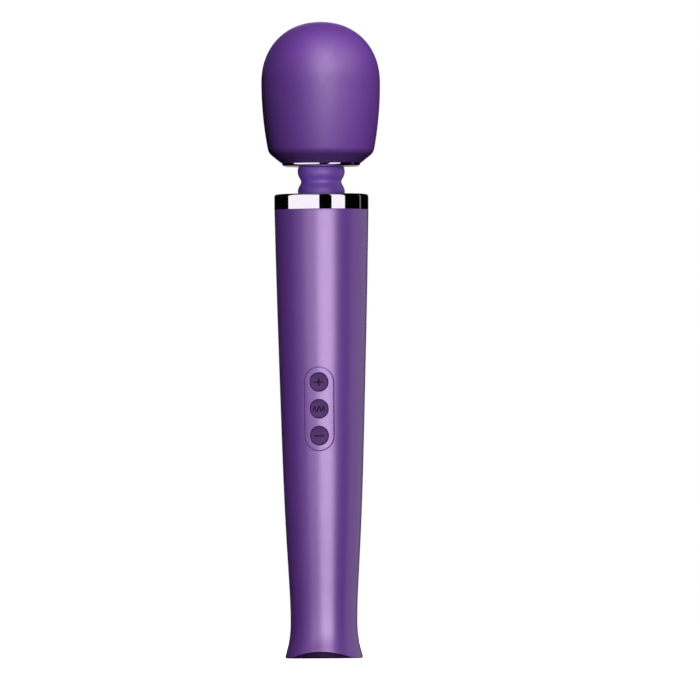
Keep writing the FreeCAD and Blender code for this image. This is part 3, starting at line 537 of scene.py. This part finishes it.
def panel():
    """The pill-shaped panel with its three round holes, a thin plate that follows the handle."""
    face_depth, back_depth, hole_rounding = 0.02, 1.3, 0.25
    # Shares of the way from a hole's edge to the outline, closest at both ends.
    shares = (0.0, 0.012, 0.04, 0.09, 0.2, 0.35, 0.5, 0.64, 0.76, 0.82, 0.86, 0.9, 0.94, 0.97, 1.0)
    lower, upper = (MINUS + MODE) / 2, (MODE + PLUS) / 2
    m = Mesh()
    for centre, low, high in ((MINUS, None, lower), (MODE, lower, upper), (PLUS, upper, None)):
        loop = cell_outline(centre, low, high)

        def on(point, share):
            """A point on the way from the hole's edge out to a point of the outline."""
            x, dz = point[0], point[1] - centre
            length = math.hypot(x, dz)
            scale = (BUTTON_HOLE + share * (length - BUTTON_HOLE)) / length
            return x * scale, centre + dz * scale

        def face_at(x, z):
            """The panel's face, rounded at its outline and at the hole's edge."""
            out = PANEL_HALF - math.hypot(x, z - min(max(z, MINUS), PLUS))
            within = math.hypot(x, z - centre) - BUTTON_HOLE
            return on_handle(x, z, face_depth + max(panel_slope(out), edge_drop(within, hole_rounding)))

        faces, backs = [], []
        for share in shares:
            ring = [on(p, share) for p in loop]
            faces.append(m.ring([face_at(x, z) for x, z in ring]))
            backs.append(m.ring([on_handle(x, z, back_depth) for x, z in ring]))
        for one, two in zip(faces, faces[1:]):
            m.band(one, two)
        for one, two in zip(backs, backs[1:]):
            m.band(two, one)
        m.band(backs[0], faces[0])
        for i, (a, b) in enumerate(zip(loop, loop[1:] + loop[:1])):
            j = (i + 1) % len(loop)
            joined = a[1] == b[1] and a[1] in (lower, upper)
            if not joined:
                m.faces.append((faces[-1][i], faces[-1][j], backs[-1][j], backs[-1][i]))
    piece = m.make("control_panel", PAINT, 50)
    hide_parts("button_panel")
    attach(piece, "handle")


# ------------------------------------------------------------------------------------------------
# Buttons
# ------------------------------------------------------------------------------------------------

FLANGE_OVERHANG = 1.05
BUTTON_RADIUS = (span("mode_button")[1][0] - span("mode_button")[0][0]) / 2 - FLANGE_OVERHANG
FACE_RINGS = (0.6, 1.4, 2.2, 3.0, 3.7, 4.2, 4.45, 4.55, 4.63, 4.69, 4.73, 4.75)  # closest at the rim
SINK, DISH, RIM_ROUNDING = 0.32, 0.42, 0.3  # how deep the rim lies, and how much deeper the middle does
FLANGE_RADIUS, FLANGE_FRONT, FLANGE_BACK = 5.8, -18.0, -17.2  # fronts and backs are places along Y
STEM_RADIUS, STEM_BACK = 1.8, -16.8
INK_RISE, INK_EDGE, INK_ROOT = 0.03, 0.006, 0.06  # the ink's crown, its edge, its root under the face


def button_depth(distance):
    """How deep a button's dished face lies under the handle's surface, at a distance from its middle."""
    share = distance / BUTTON_RADIUS
    return SINK + DISH * (1 - share**2) + edge_drop(BUTTON_RADIUS - distance, RIM_ROUNDING)


def button(name, centre):
    """A round key with a dished face and a rounded rim, and the flange and stem behind it."""
    m = Mesh()
    around = 72
    turns = [2 * math.pi * i / around for i in range(around)]
    rings = []
    for r in FACE_RINGS:
        places = [(r * math.cos(t), centre + r * math.sin(t)) for t in turns]
        rings.append(m.ring([on_handle(x, z, button_depth(r)) for x, z in places]))
    back = ((FACE_RINGS[-1], FLANGE_FRONT), (FLANGE_RADIUS, FLANGE_FRONT), (FLANGE_RADIUS, FLANGE_BACK),
            (STEM_RADIUS, FLANGE_BACK), (STEM_RADIUS, STEM_BACK))
    for r, y in back:
        rings.append(m.ring([(r * math.cos(t), y, centre + r * math.sin(t)) for t in turns]))
    for one, two in zip(rings, rings[1:]):
        m.band(one, two)
    tip = m.ring([on_handle(0, centre, button_depth(0))])[0]
    base = m.ring([(0, STEM_BACK, centre)])[0]
    for i in range(around):
        j = (i + 1) % around
        m.faces.append((tip, rings[0][i], rings[0][j]))
        m.faces.append((base, rings[-1][j], rings[-1][i]))
    piece = m.make(name + "_cap", BUTTON, 40)
    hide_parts(name + "_button")
    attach(piece, name + "_key")


def inlay(name, centre, body, path, width):
    """A printed line with round ends, of that width, along a path on a button's face, as a thin solid."""
    m = Mesh()
    half = width / 2
    rows = []
    count = len(path)
    for i, (x, z) in enumerate(path):
        ax, az = path[max(i - 1, 0)]
        bx, bz = path[min(i + 1, count - 1)]
        length = math.hypot(bx - ax, bz - az)
        nx, nz = -(bz - az) / length, (bx - ax) / length
        away = min(math.dist(path[i], path[0]), math.dist(path[i], path[-1]))
        share = math.sqrt(max(0.04, 1 - (1 - min(away / half, 1)) ** 2))

        def across(side, rise):
            """A point on the line's section, side from -1 to 1, raised above the button's face."""
            px, pz = x + nx * half * side * share, z + nz * half * side * share
            return on_handle(px, centre + pz, button_depth(math.hypot(px, pz)) - rise)

        row = [across(side, INK_RISE * (1 - side**4) + INK_EDGE) for side in (-1, -0.5, 0, 0.5, 1)]
        rows.append(m.ring(row + [across(side, -INK_ROOT) for side in (1, 0, -1)]))
    for one, two in zip(rows, rows[1:]):
        m.band(one, two)
    m.faces.append(tuple(rows[0][::-1]))
    m.faces.append(tuple(rows[-1]))
    piece = m.make(name, ICON, 60)
    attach(piece, body)


def icons():
    """A plus, a plain wave with three crests and a minus, printed on the three buttons."""
    stroke, wave_stroke = 0.72, 0.62
    bar_reach, upright_reach = 2.7, 2.25
    bar = [(x, 0.0) for x in np.linspace(-bar_reach, bar_reach, 41)]
    upright = [(0.0, z) for z in np.linspace(-upright_reach, upright_reach, 41)]
    inlay("plus_icon_bar", PLUS, "plus_key", bar, stroke)
    inlay("plus_icon_upright", PLUS, "plus_key", upright, stroke)
    inlay("minus_icon_bar", MINUS, "minus_key", bar, stroke)
    spacing, swing, leg = 2.4, 1.3, 0.75
    wave = []
    for x in np.linspace(-spacing - leg, spacing + leg, 161):
        past = max(0.0, abs(x) - spacing)
        angle = 2 * math.pi * (abs(x) - past) / spacing + math.pi * past / leg
        level = math.cos(angle)
        wave.append((x, swing * math.copysign(abs(level) ** 0.7, level)))
    inlay("mode_icon_wave", MODE, "mode_key", wave, wave_stroke)


# ------------------------------------------------------------------------------------------------
# Ring, deck, neck, collar and head
# ------------------------------------------------------------------------------------------------


def chrome_ring():
    """The bright ring at the handle's top, an angle section with a large rounded shoulder."""
    foot, top = foot_and_top("top_ring")
    outside = span("top_ring")[1][0]
    inside, mouth, lip = outside - 1.5, 21.0, 1.2
    foot_edge, shoulder, mouth_edge = 0.12, 1.4, 0.18
    profile = [(inside, foot)] + arc((outside - foot_edge, foot + foot_edge), foot_edge, -90, 0, 4)
    profile += steps((outside, foot + 0.5), (outside, top - shoulder - 0.2), 5)
    profile += arc((outside - shoulder, top - shoulder), shoulder, 0, 90, 14)
    profile += steps((outside - shoulder - 0.3, top), (mouth + 0.4, top), 3)
    profile += arc((mouth + mouth_edge, top - mouth_edge), mouth_edge, 90, 180, 5)
    profile += [(mouth, top - lip), (inside, top - lip)]
    ring = lathe("chrome_ring", profile, CHROME, 192, 50)
    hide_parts("top_ring")
    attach(ring, "handle")


def chrome_deck():
    """The slightly domed plate inside the ring, with a hole for the neck."""
    low, high = foot_and_top("deck_plate")
    hole, hole_edge, rim, step, step_height, edge = 13.1, 0.4, 21.9, 20.8, 244.4, 0.15
    profile = [(hole, low), (rim, low), (rim, step_height), (step, step_height)]
    profile += arc((step - edge, high - 3 * edge), edge, 0, 90, 4)
    profile += steps((step - 4 * edge, high - 0.28), (hole + 1.1, high - 0.03), 8)
    profile += arc((hole + hole_edge, high - hole_edge), hole_edge, 90, 180, 5)
    deck = lathe("chrome_deck", profile, CHROME, 144, 45)
    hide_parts("deck_plate")
    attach(deck, "handle")


DECK, LOWER_RIB, WAIST, UPPER_RIB = 245.3, 248.2, 252.45, 256.8  # heights; the neck bends at its ribs


def flexible(name, node, profiles, material, sharp):
    """The two halves of a flexible part of the neck, each turned from its own profile, with the CAD node
    hidden.
    """
    lower, upper = (lathe(f"{name}_{part}", profile, material, 120, sharp)
                    for part, profile in zip(("lower", "upper"), profiles))
    for piece in (lower, upper):
        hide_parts(node)
    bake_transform(lower)
    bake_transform(upper)


def neck_sleeve():
    """The ribbed silicone sleeve: two ribs with a waist between them."""
    low, high = foot_and_top("neck_bellows")
    rib, valley, skirt, bore = 12.4, 10.7, 12.9, 9.7
    halfway = (rib + valley) / 2
    outline = cubic([(DECK - 1, rib - 0.35), (DECK, rib - 0.2),
                     (LOWER_RIB, rib), ((LOWER_RIB + WAIST) / 2, halfway), (WAIST, valley),
                     ((WAIST + UPPER_RIB) / 2, halfway), (UPPER_RIB, rib), (high, rib - 0.3)])
    lower = [(bore, low), (skirt, low), (skirt, DECK - 0.6), (outline(DECK - 0.4), DECK - 0.4)]
    lower += [(outline(z), z) for z in np.linspace(DECK, WAIST, 41)]
    lower += steps((bore, WAIST), (bore, low), 30)[:-1]
    upper = [(bore, WAIST)] + [(outline(z), z) for z in np.linspace(WAIST, high - 0.25, 41)]
    upper += [(outline(high) - 0.2, high)] + steps((bore, high), (bore, WAIST), 24)[:-1]
    flexible("neck_sleeve", "neck_bellows", (lower, upper), SLEEVE, 60)


def neck_rubber():
    """The rubber core inside the sleeve, a tube with a flange at each end."""
    low, high = foot_and_top("neck_core")
    flange, upper_flange, outside, hollow, thickness = span("neck_core")[1][0], 14.0, 9.6, 7.4, 1.8
    lower = [(hollow, low), (flange, low), (flange, low + thickness)]
    lower += steps((outside, low + thickness), (outside, WAIST), 30)
    lower += steps((hollow, WAIST), (hollow, low), 30)[:-1]
    upper = [(hollow, WAIST)] + steps((outside, WAIST), (outside, high - thickness), 30)
    upper += [(upper_flange, high - thickness), (upper_flange, high)]
    upper += steps((hollow, high), (hollow, WAIST), 30)[:-1]
    flexible("neck_rubber", "neck_core", (lower, upper), RUBBER, 40)


def coil(name, low, high, body):
    """A length of the drive spring between two heights; the turns carry on from one length to the next."""
    pitch, radius, wire, per_turn, sides = 1.9, 4.2, 0.75, 28, 12
    m = Mesh()
    count = round((high - low) / pitch * per_turn)
    rings = []
    for i in range(count + 1):
        z = low + (high - low) * i / count
        turn = 2 * math.pi * z / pitch
        section = []
        for k in range(sides):
            a = 2 * math.pi * k / sides
            r = radius + wire * math.cos(a)
            section.append((r * math.cos(turn), r * math.sin(turn), z + wire * math.sin(a)))
        rings.append(m.ring(section))
    for one, two in zip(rings, rings[1:]):
        m.band(one, two)
    m.faces += [tuple(rings[0][::-1]), tuple(rings[-1])]
    piece = m.make(name, STEEL, 50)
    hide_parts("drive_spring")
    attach(piece, body)


def spring():
    """The drive spring, split where the neck bends so that each length turns with its own coupling."""
    foot, split, top = 231.7, 252.4, 257.0
    coil("drive_coil_lower", foot, split, "motor_rotor")
    coil("drive_coil_upper", split, top, "head_rotor")


HEAD_RADIUS, EQUATOR, CROWN = 31.47, 304.75, 32.55  # the widest place, and the dome's height above it
CROWN_POWER = 2.15  # 2 would be a plain ellipse, more is squarer
SIDE_CURVE, CORNER, CORNER_LEVEL, CONE = 190.0, 6.0, 270.0, 51.0  # the cone's slope is in degrees


def head_outline(inset, floor):
    """The head's side from its top to the height floor, moved inwards by inset, as (radius, height)."""
    radius, crown, corner = HEAD_RADIUS - inset, CROWN - inset, CORNER - inset
    first = math.asin((EQUATOR - CORNER_LEVEL) / SIDE_CURVE)
    last = math.radians(CONE)
    side_centre = (HEAD_RADIUS - SIDE_CURVE, EQUATOR)
    reach = SIDE_CURVE - CORNER
    corner_centre = (side_centre[0] + reach * math.cos(first), EQUATOR - reach * math.sin(first))
    points = []
    for t in np.linspace(math.pi / 2, 0, 65):
        c, s = max(math.cos(t), 0), math.sin(t)
        points.append((radius * c ** (2 / CROWN_POWER), EQUATOR + crown * s ** (2 / CROWN_POWER)))
    points[0] = (0.0, EQUATOR + crown)
    sweep = [-math.degrees(a) for a in (first, last)]
    points += arc(side_centre, SIDE_CURVE - inset, 0, sweep[0], 30)[1:]
    points += arc(corner_centre, corner, sweep[0], sweep[1], 20)[1:]
    start = points[-1]
    drop = start[1] - floor
    points += steps(start, (start[0] - drop * math.tan(last), floor), 8)[1:]
    return points


def chrome_collar():
    """The bright plate under the head, its lower edge drawn in by a wide curve."""
    low, high = foot_and_top("collar_plate")
    outside = span("collar_plate")[1][0]
    bore, top_edge = 9.9, 0.3
    wide, tall = 2.6, high - low - 0.5
    profile = [(bore, low)] + steps((bore + 0.6, low), (outside - wide - 0.4, low), 6)
    profile += [(outside + wide * (math.cos(a) - 1), low + tall * (1 + math.sin(a)))
                for a in np.linspace(-math.pi / 2, 0, 15)]
    profile += arc((outside - top_edge, high - top_edge), top_edge, 0, 90, 5) + [(bore, high)]
    collar = lathe("chrome_collar", profile, CHROME, 168, 50)
    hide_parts("collar_plate")
    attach(collar, "head")


def head_cover():
    """The hollow silicone head, with a mouth at its bottom that the collar closes."""
    floor = foot_and_top("head_cover")[0]
    mouth, wall, lip = 14.5, 3.6, 1.8
    outer = head_outline(0, floor)
    foot_edge = outer[-1][0]
    outer = outer[:-1] + [(foot_edge + 0.18, floor + 0.14), (foot_edge - 0.1, floor)]
    inner = head_outline(wall, floor + lip)[::-1]
    profile = outer + [(mouth, floor), (mouth, floor + lip)] + inner
    cover = lathe("silicone_head", profile, SILICONE, 176, 60)
    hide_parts("head_cover")
    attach(cover, "head")


# ------------------------------------------------------------------------------------------------
# Build the pieces
# ------------------------------------------------------------------------------------------------

shell("front_half", "front_shell", FRONT, True)
shell("rear_half", "rear_shell", REAR, False)
panel()
for key, level in (("plus", PLUS), ("mode", MODE), ("minus", MINUS)):
    button(key, level)
icons()
chrome_ring()
chrome_deck()
neck_sleeve()
neck_rubber()
spring()
chrome_collar()
head_cover()

slots = {m["slot"]: inner_material(m) for m in frame["record"]["materials"]}
slots["cap_tint"] = CAP
for part in frame["record"]["subparts"]:
    node = frame["nodes"][part["node"]]
    if node.hide_render:
        continue
    node.data.materials.clear()
    node.data.materials.append(slots[part["material_slot"]])

# ------------------------------------------------------------------------------------------------
# Floor, light and camera
# ------------------------------------------------------------------------------------------------


def floor_material():
    """Pale floor that glows white by itself, a little less so near the object: painted shade there, which
    the lamps' light near the object brings back up to white outside the object's shadow.
    """
    s = Shader("floor_white")
    grey = (0.5, 0.5, 0.5)
    s.link(s.ramp(s.noise(400, 2), (0.3, shade(grey, 0.98)), (0.7, shade(grey, 1.0))), "Base Color")
    s.set(Roughness=0.9, Specular_IOR_Level=0.1)
    length = s.add("ShaderNodeVectorMath", {0: s.place}, operation="LENGTH").outputs["Value"]
    # The glow is dimmer near the object: painted shade that evens out the lamps' brighter light there.
    s.link(s.ramp(length, (0.05, 0.80), (0.6, 1.0)), "Emission Color")
    s.surface.inputs["Emission Strength"].default_value = 1.0
    return s.material


def stage_disc(name, radius, height, material):
    """A round sheet of the stage, with its rings closer together near the object."""
    m = Mesh()
    around = 96
    rings = [m.ring([(0, 0, height)]) * around]
    rings += [m.ring(circle(radius * share, height, around)) for share in (0.01, 0.03, 0.1, 0.3, 1.0)]
    for one, two in zip(rings, rings[1:]):
        m.fan(one, two)
    piece = m.plain(name)
    piece.data.materials.append(material)
    return piece


FLOOR_RADIUS, FLOOR_HEIGHT = 30_000, -0.05  # millimetres, just clear of the foot
floor = stage_disc("floor", FLOOR_RADIUS, FLOOR_HEIGHT, floor_material())
floor.visible_diffuse = floor.visible_glossy = floor.visible_shadow = False

bpy.context.scene.view_settings.view_transform = "Standard"
world = bpy.data.worlds.new("studio")
bpy.context.scene.world = world
world.use_nodes = True
sky = world.node_tree
ray = sky.nodes.new("ShaderNodeLightPath")
strength = sky.nodes.new("ShaderNodeMath")  # white to the camera, next to dark for the lighting
strength.operation = "MULTIPLY_ADD"
strength.inputs[1].default_value, strength.inputs[2].default_value = 0.999, 0.001
sky.links.new(ray.outputs["Is Camera Ray"], strength.inputs[0])
sky.links.new(strength.outputs[0], sky.nodes["Background"].inputs["Strength"])
sky.nodes["Background"].inputs["Color"].default_value = (1, 1, 1, 1)


def softbox(name, azimuth, elevation, distance, width, height, glow, onto, aim):
    """A rectangular light that shines on one group of pieces and faces the point aim.

    Its azimuth is 0 in front and positive to the right, in degrees like its elevation. Its distance, width
    and height are in metres, and glow is how bright it looks in a mirror.
    """
    a, e = math.radians(azimuth), math.radians(elevation)
    back = (math.sin(a) * math.cos(e), -math.cos(a) * math.cos(e), math.sin(e))
    data = bpy.data.lights.new(name, "AREA")
    data.shape = "RECTANGLE"
    data.size, data.size_y = width, height
    data.energy = glow * math.pi * width * height
    lamp = bpy.data.objects.new(name, data)
    lamp.location = [c + distance * b for c, b in zip(aim, back)]
    direction = type(lamp.location)(back)
    lamp.rotation_mode = "QUATERNION"
    lamp.rotation_quaternion = direction.to_track_quat("Z", "Y")
    bpy.context.scene.collection.objects.link(lamp)
    lamp.light_linking.receiver_collection = onto
    lamp.visible_glossy = name not in DIFFUSE_ONLY


def receivers(name, chosen):
    """The collection of pieces that one group of lights shines on."""
    group = bpy.data.collections.new(name)
    for piece in chosen:
        group.objects.link(piece)
    return group


def shows(piece, material):
    """Whether the piece is covered in that material."""
    return bool(piece.data.materials) and piece.data.materials[0] == material


SHOWN = [o for o in bpy.context.scene.objects if o.type == "MESH"]
BRIGHT = receivers("bright_pieces", [o for o in SHOWN if shows(o, CHROME)])
SOFT = receivers("head_pieces", [o for o in SHOWN if shows(o, SILICONE)])
PAINTED = receivers("other_pieces", [o for o in SHOWN if not shows(o, CHROME) and not shows(o, SILICONE)])

# Each light's name, azimuth, elevation, distance, width, height and glow.
PAINTED_LIGHTS = (
    ("key", 15, -2, 1.5, 1.20, 0.85, 4.75),
    ("flare_key", 15, 25, 1.5, 0.90, 0.55, 2.2),
    ("left_near", -25, 3, 1.5, 0.75, 1.0, 1.5),
    ("left_wash", -54, 10, 1.5, 0.7, 1.6, 0.3),
    ("right_wash", 118, 10, 1.3, 1.9, 2.2, 0.52),
    ("top_wash", 0, 80, 1.6, 1.6, 1.6, 1.2),
    ("back_key", 185, 8, 1.6, 0.5, 1.3, 4.0),
    ("back_left", 202, 15, 1.6, 1.2, 1.6, 1.9),
)
HEAD_LIGHTS = (
    ("head_key", 14, 24, 1.5, 0.42, 1.65, 11.9),
    ("head_crown", 14, 62, 1.5, 0.5, 0.7, 2.2),
    ("head_side", 64, 32, 1.5, 1.0, 1.0, 2.0),
    ("head_back", 185, 5, 1.6, 0.5, 1.0, 4.0),
    ("head_back_left", 202, 22, 1.6, 1.0, 1.2, 2.6),
)
CHROME_LIGHTS = (
    ("chrome_left", -41.5, 0, 1.2, 2.11, 3.2, 1.0),
    ("chrome_right", 47.0, 0, 1.2, 0.74, 3.2, 1.0),
    ("chrome_streak", 115, 0, 1.2, 0.09, 1.2, 0.2),
    ("chrome_back", 185, 0, 1.2, 0.64, 1.2, 0.35),
)
DIFFUSE_ONLY = ("back_left", "head_back_left")  # these fill the back and leave no highlight
HANDLE_MIDDLE, HEAD_MIDDLE = (0, 0, 0.17), (0, 0, 0.30)

LIGHTING = ((PAINTED_LIGHTS, PAINTED, HANDLE_MIDDLE), (HEAD_LIGHTS, SOFT, HEAD_MIDDLE),
            (CHROME_LIGHTS, BRIGHT, HANDLE_MIDDLE))
for lights, group, middle in LIGHTING:
    for light in lights:
        softbox(*light, group, middle)

AZIMUTH, DISTANCE, EYE, ROLL = 5.0, 8.0, 0.05, -0.36  # degrees, metres, metres and degrees
FIELD = 0.371  # metres across the picture at the object
AIM_ACROSS, AIM_UP = 0.01468, 0.16324  # the picture's middle, metres right of and above the foot's
turn = math.radians(AZIMUTH)
camera_data = bpy.data.cameras.new("camera")
camera = bpy.data.objects.new("camera", camera_data)
bpy.context.scene.collection.objects.link(camera)
bpy.context.scene.camera = camera
camera_data.sensor_width = 36
camera_data.lens = camera_data.sensor_width * DISTANCE / FIELD
camera_data.clip_start, camera_data.clip_end = 0.1, 200
target = type(camera.location)((AIM_ACROSS * math.cos(turn), AIM_ACROSS * math.sin(turn), AIM_UP))
camera.location = (target.x + DISTANCE * math.sin(turn), target.y - DISTANCE * math.cos(turn), EYE)
camera.rotation_mode = "QUATERNION"
look = (camera.location - target).to_track_quat("Z", "Y")
camera.rotation_quaternion = look @ type(look)((0, 0, 1), math.radians(ROLL))
